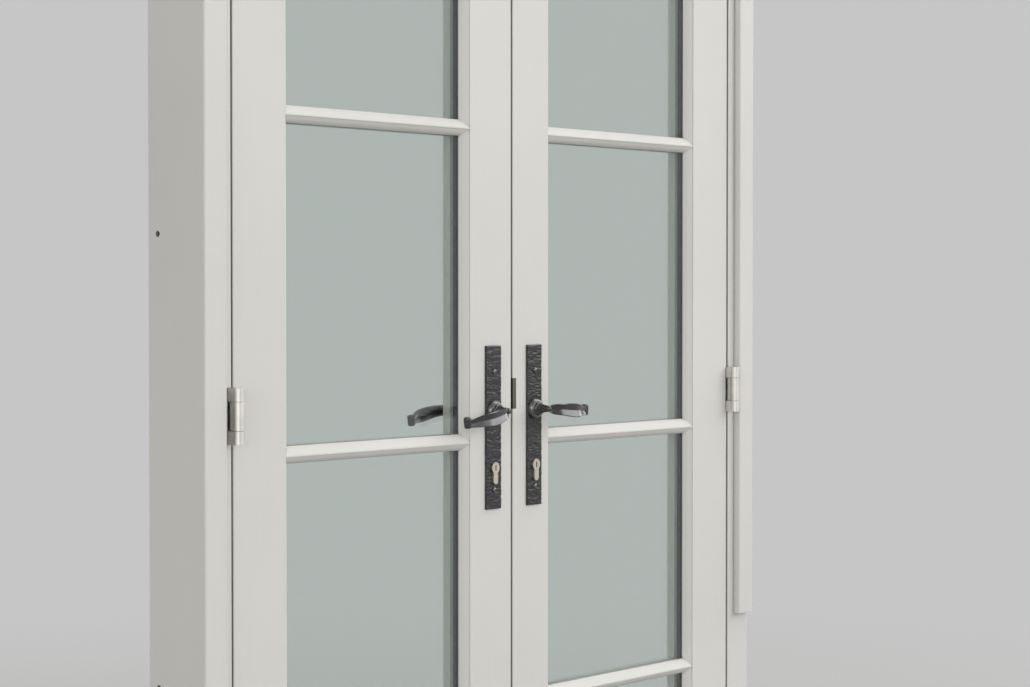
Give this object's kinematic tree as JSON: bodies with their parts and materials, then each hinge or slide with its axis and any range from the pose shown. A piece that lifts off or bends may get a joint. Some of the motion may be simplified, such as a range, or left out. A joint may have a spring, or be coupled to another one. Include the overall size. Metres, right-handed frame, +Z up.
{
  "type": "french doors",
  "caption": "Pair of glazed, outward-opening double doors with glazing bars, long black handle plates and a painted timber frame.",
  "frame": {"origin": "middle of the threshold's underside, in the plane of the doors' outer faces", "axes": "+X to the right seen from outside, +Y into the room, +Z up"},
  "size_m": [1.272, 0.1506, 2.086],
  "materials": {
    "paint": "satin white-grey paint on timber",
    "glass": "clear float glass",
    "spacer": "matt black",
    "seal": "matt black",
    "hinge_nickel": "satin nickel",
    "black_iron": "hand-worked, semi-gloss black",
    "cylinder_nickel": "satin nickel",
    "lock_steel": "plain zinc-plated",
    "strike_metal": "dark satin"
  },
  "bodies": {
    "frame": {"threshold": "paint", "left_jamb": "paint", "right_jamb": "paint", "head": "paint", "left_cover_strip": "paint", "right_cover_strip": "paint", "frame_seal": "seal", "frame_hinge_screws": "hinge_nickel", "left_lower_hinge_frame_half": "hinge_nickel", "left_middle_hinge_frame_half": "hinge_nickel", "left_upper_hinge_frame_half": "hinge_nickel", "right_lower_hinge_frame_half": "hinge_nickel", "right_middle_hinge_frame_half": "hinge_nickel", "right_upper_hinge_frame_half": "hinge_nickel"},
    "left_leaf": {"left_hinge_stile": "paint", "left_meeting_stile": "paint", "left_bottom_rail": "paint", "left_top_rail": "paint", "left_outer_bars": "paint", "left_inner_beads": "paint", "left_panes": "glass", "left_spacer": "spacer", "left_outer_plate": "black_iron", "left_inner_plate": "black_iron", "left_plate_screws": "black_iron", "left_hinge_screws": "hinge_nickel", "left_cylinder_body": "cylinder_nickel", "left_lower_hinge_leaf_half": "hinge_nickel", "left_middle_hinge_leaf_half": "hinge_nickel", "left_upper_hinge_leaf_half": "hinge_nickel", "left_lock_case": "lock_steel"},
    "left_handle": {"left_outer_lever": "black_iron", "left_inner_lever": "black_iron"},
    "left_key_plug": {"left_cylinder_plug": "cylinder_nickel"},
    "right_leaf": {"right_hinge_stile": "paint", "right_meeting_stile": "paint", "right_bottom_rail": "paint", "right_top_rail": "paint", "right_outer_bars": "paint", "right_inner_beads": "paint", "right_panes": "glass", "right_spacer": "spacer", "right_outer_plate": "black_iron", "right_inner_plate": "black_iron", "right_plate_screws": "black_iron", "right_hinge_screws": "hinge_nickel", "right_cylinder_body": "cylinder_nickel", "right_lower_hinge_leaf_half": "hinge_nickel", "right_middle_hinge_leaf_half": "hinge_nickel", "right_upper_hinge_leaf_half": "hinge_nickel", "right_gearbox": "lock_steel", "right_strike": "strike_metal"},
    "right_handle": {"right_outer_lever": "black_iron", "right_inner_lever": "black_iron"},
    "right_key_plug": {"right_cylinder_plug": "cylinder_nickel"},
    "left_latch": {"left_latch_bolt": "lock_steel"},
    "left_deadbolt": {"left_dead_bolt": "lock_steel"},
    "right_upper_bolt": {"right_upper_shoot_bolt": "lock_steel"},
    "right_lower_bolt": {"right_lower_shoot_bolt": "lock_steel"}
  },
  "joints": [
    {"name": "left_leaf_swing", "type": "hinge", "parent": "frame", "child": "left_leaf", "pos_m": [-0.578, -0.0146, 1.06], "axis": [0, 0, -1], "range_deg": [0, 170]},
    {"name": "right_leaf_swing", "type": "hinge", "parent": "frame", "child": "right_leaf", "pos_m": [0.578, -0.0146, 1.06], "axis": [0, 0, 1], "range_deg": [0, 170]},
    {"name": "left_handle_turn", "type": "hinge", "parent": "left_leaf", "child": "left_handle", "pos_m": [-0.041, 0.028, 1.047], "axis": [0, -1, 0], "range_deg": [0, 35], "stiffness_Nm_per_rad": 1, "springref_deg": -28.65},
    {"name": "left_latch_slide", "type": "slide", "parent": "left_leaf", "child": "left_latch", "axis": [-1, 0, 0], "range_m": [0, 0.011]},
    {"name": "left_key_turn", "type": "hinge", "parent": "left_leaf", "child": "left_key_plug", "pos_m": [-0.041, 0.028, 0.962], "axis": [0, 1, 0], "range_deg": [0, 360]},
    {"name": "left_deadbolt_slide", "type": "slide", "parent": "left_leaf", "child": "left_deadbolt", "axis": [1, 0, 0], "range_m": [0, 0.02]},
    {"name": "right_handle_turn", "type": "hinge", "parent": "right_leaf", "child": "right_handle", "pos_m": [0.0555, 0.028, 1.047], "axis": [0, -1, 0], "range_deg": [0, 45]},
    {"name": "right_upper_bolt_slide", "type": "slide", "parent": "right_leaf", "child": "right_upper_bolt", "axis": [0, 0, 1], "range_m": [0, 0.018]},
    {"name": "right_lower_bolt_slide", "type": "slide", "parent": "right_leaf", "child": "right_lower_bolt", "axis": [0, 0, -1], "range_m": [0, 0.018]},
    {"name": "right_key_turn", "type": "hinge", "parent": "right_leaf", "child": "right_key_plug", "pos_m": [0.0555, 0.028, 0.962], "axis": [0, 1, 0], "range_deg": [0, 360]}
  ],
  "couplings": [
    {"joint": "left_latch_slide", "follows": "left_handle_turn", "m_per_rad": 0.018},
    {"joint": "left_key_turn", "follows": "left_deadbolt_slide", "rad_per_m": 314.16},
    {"joint": "right_upper_bolt_slide", "follows": "right_handle_turn", "m_per_rad": 0.02291},
    {"joint": "right_lower_bolt_slide", "follows": "right_handle_turn", "m_per_rad": 0.02291}
  ]
}
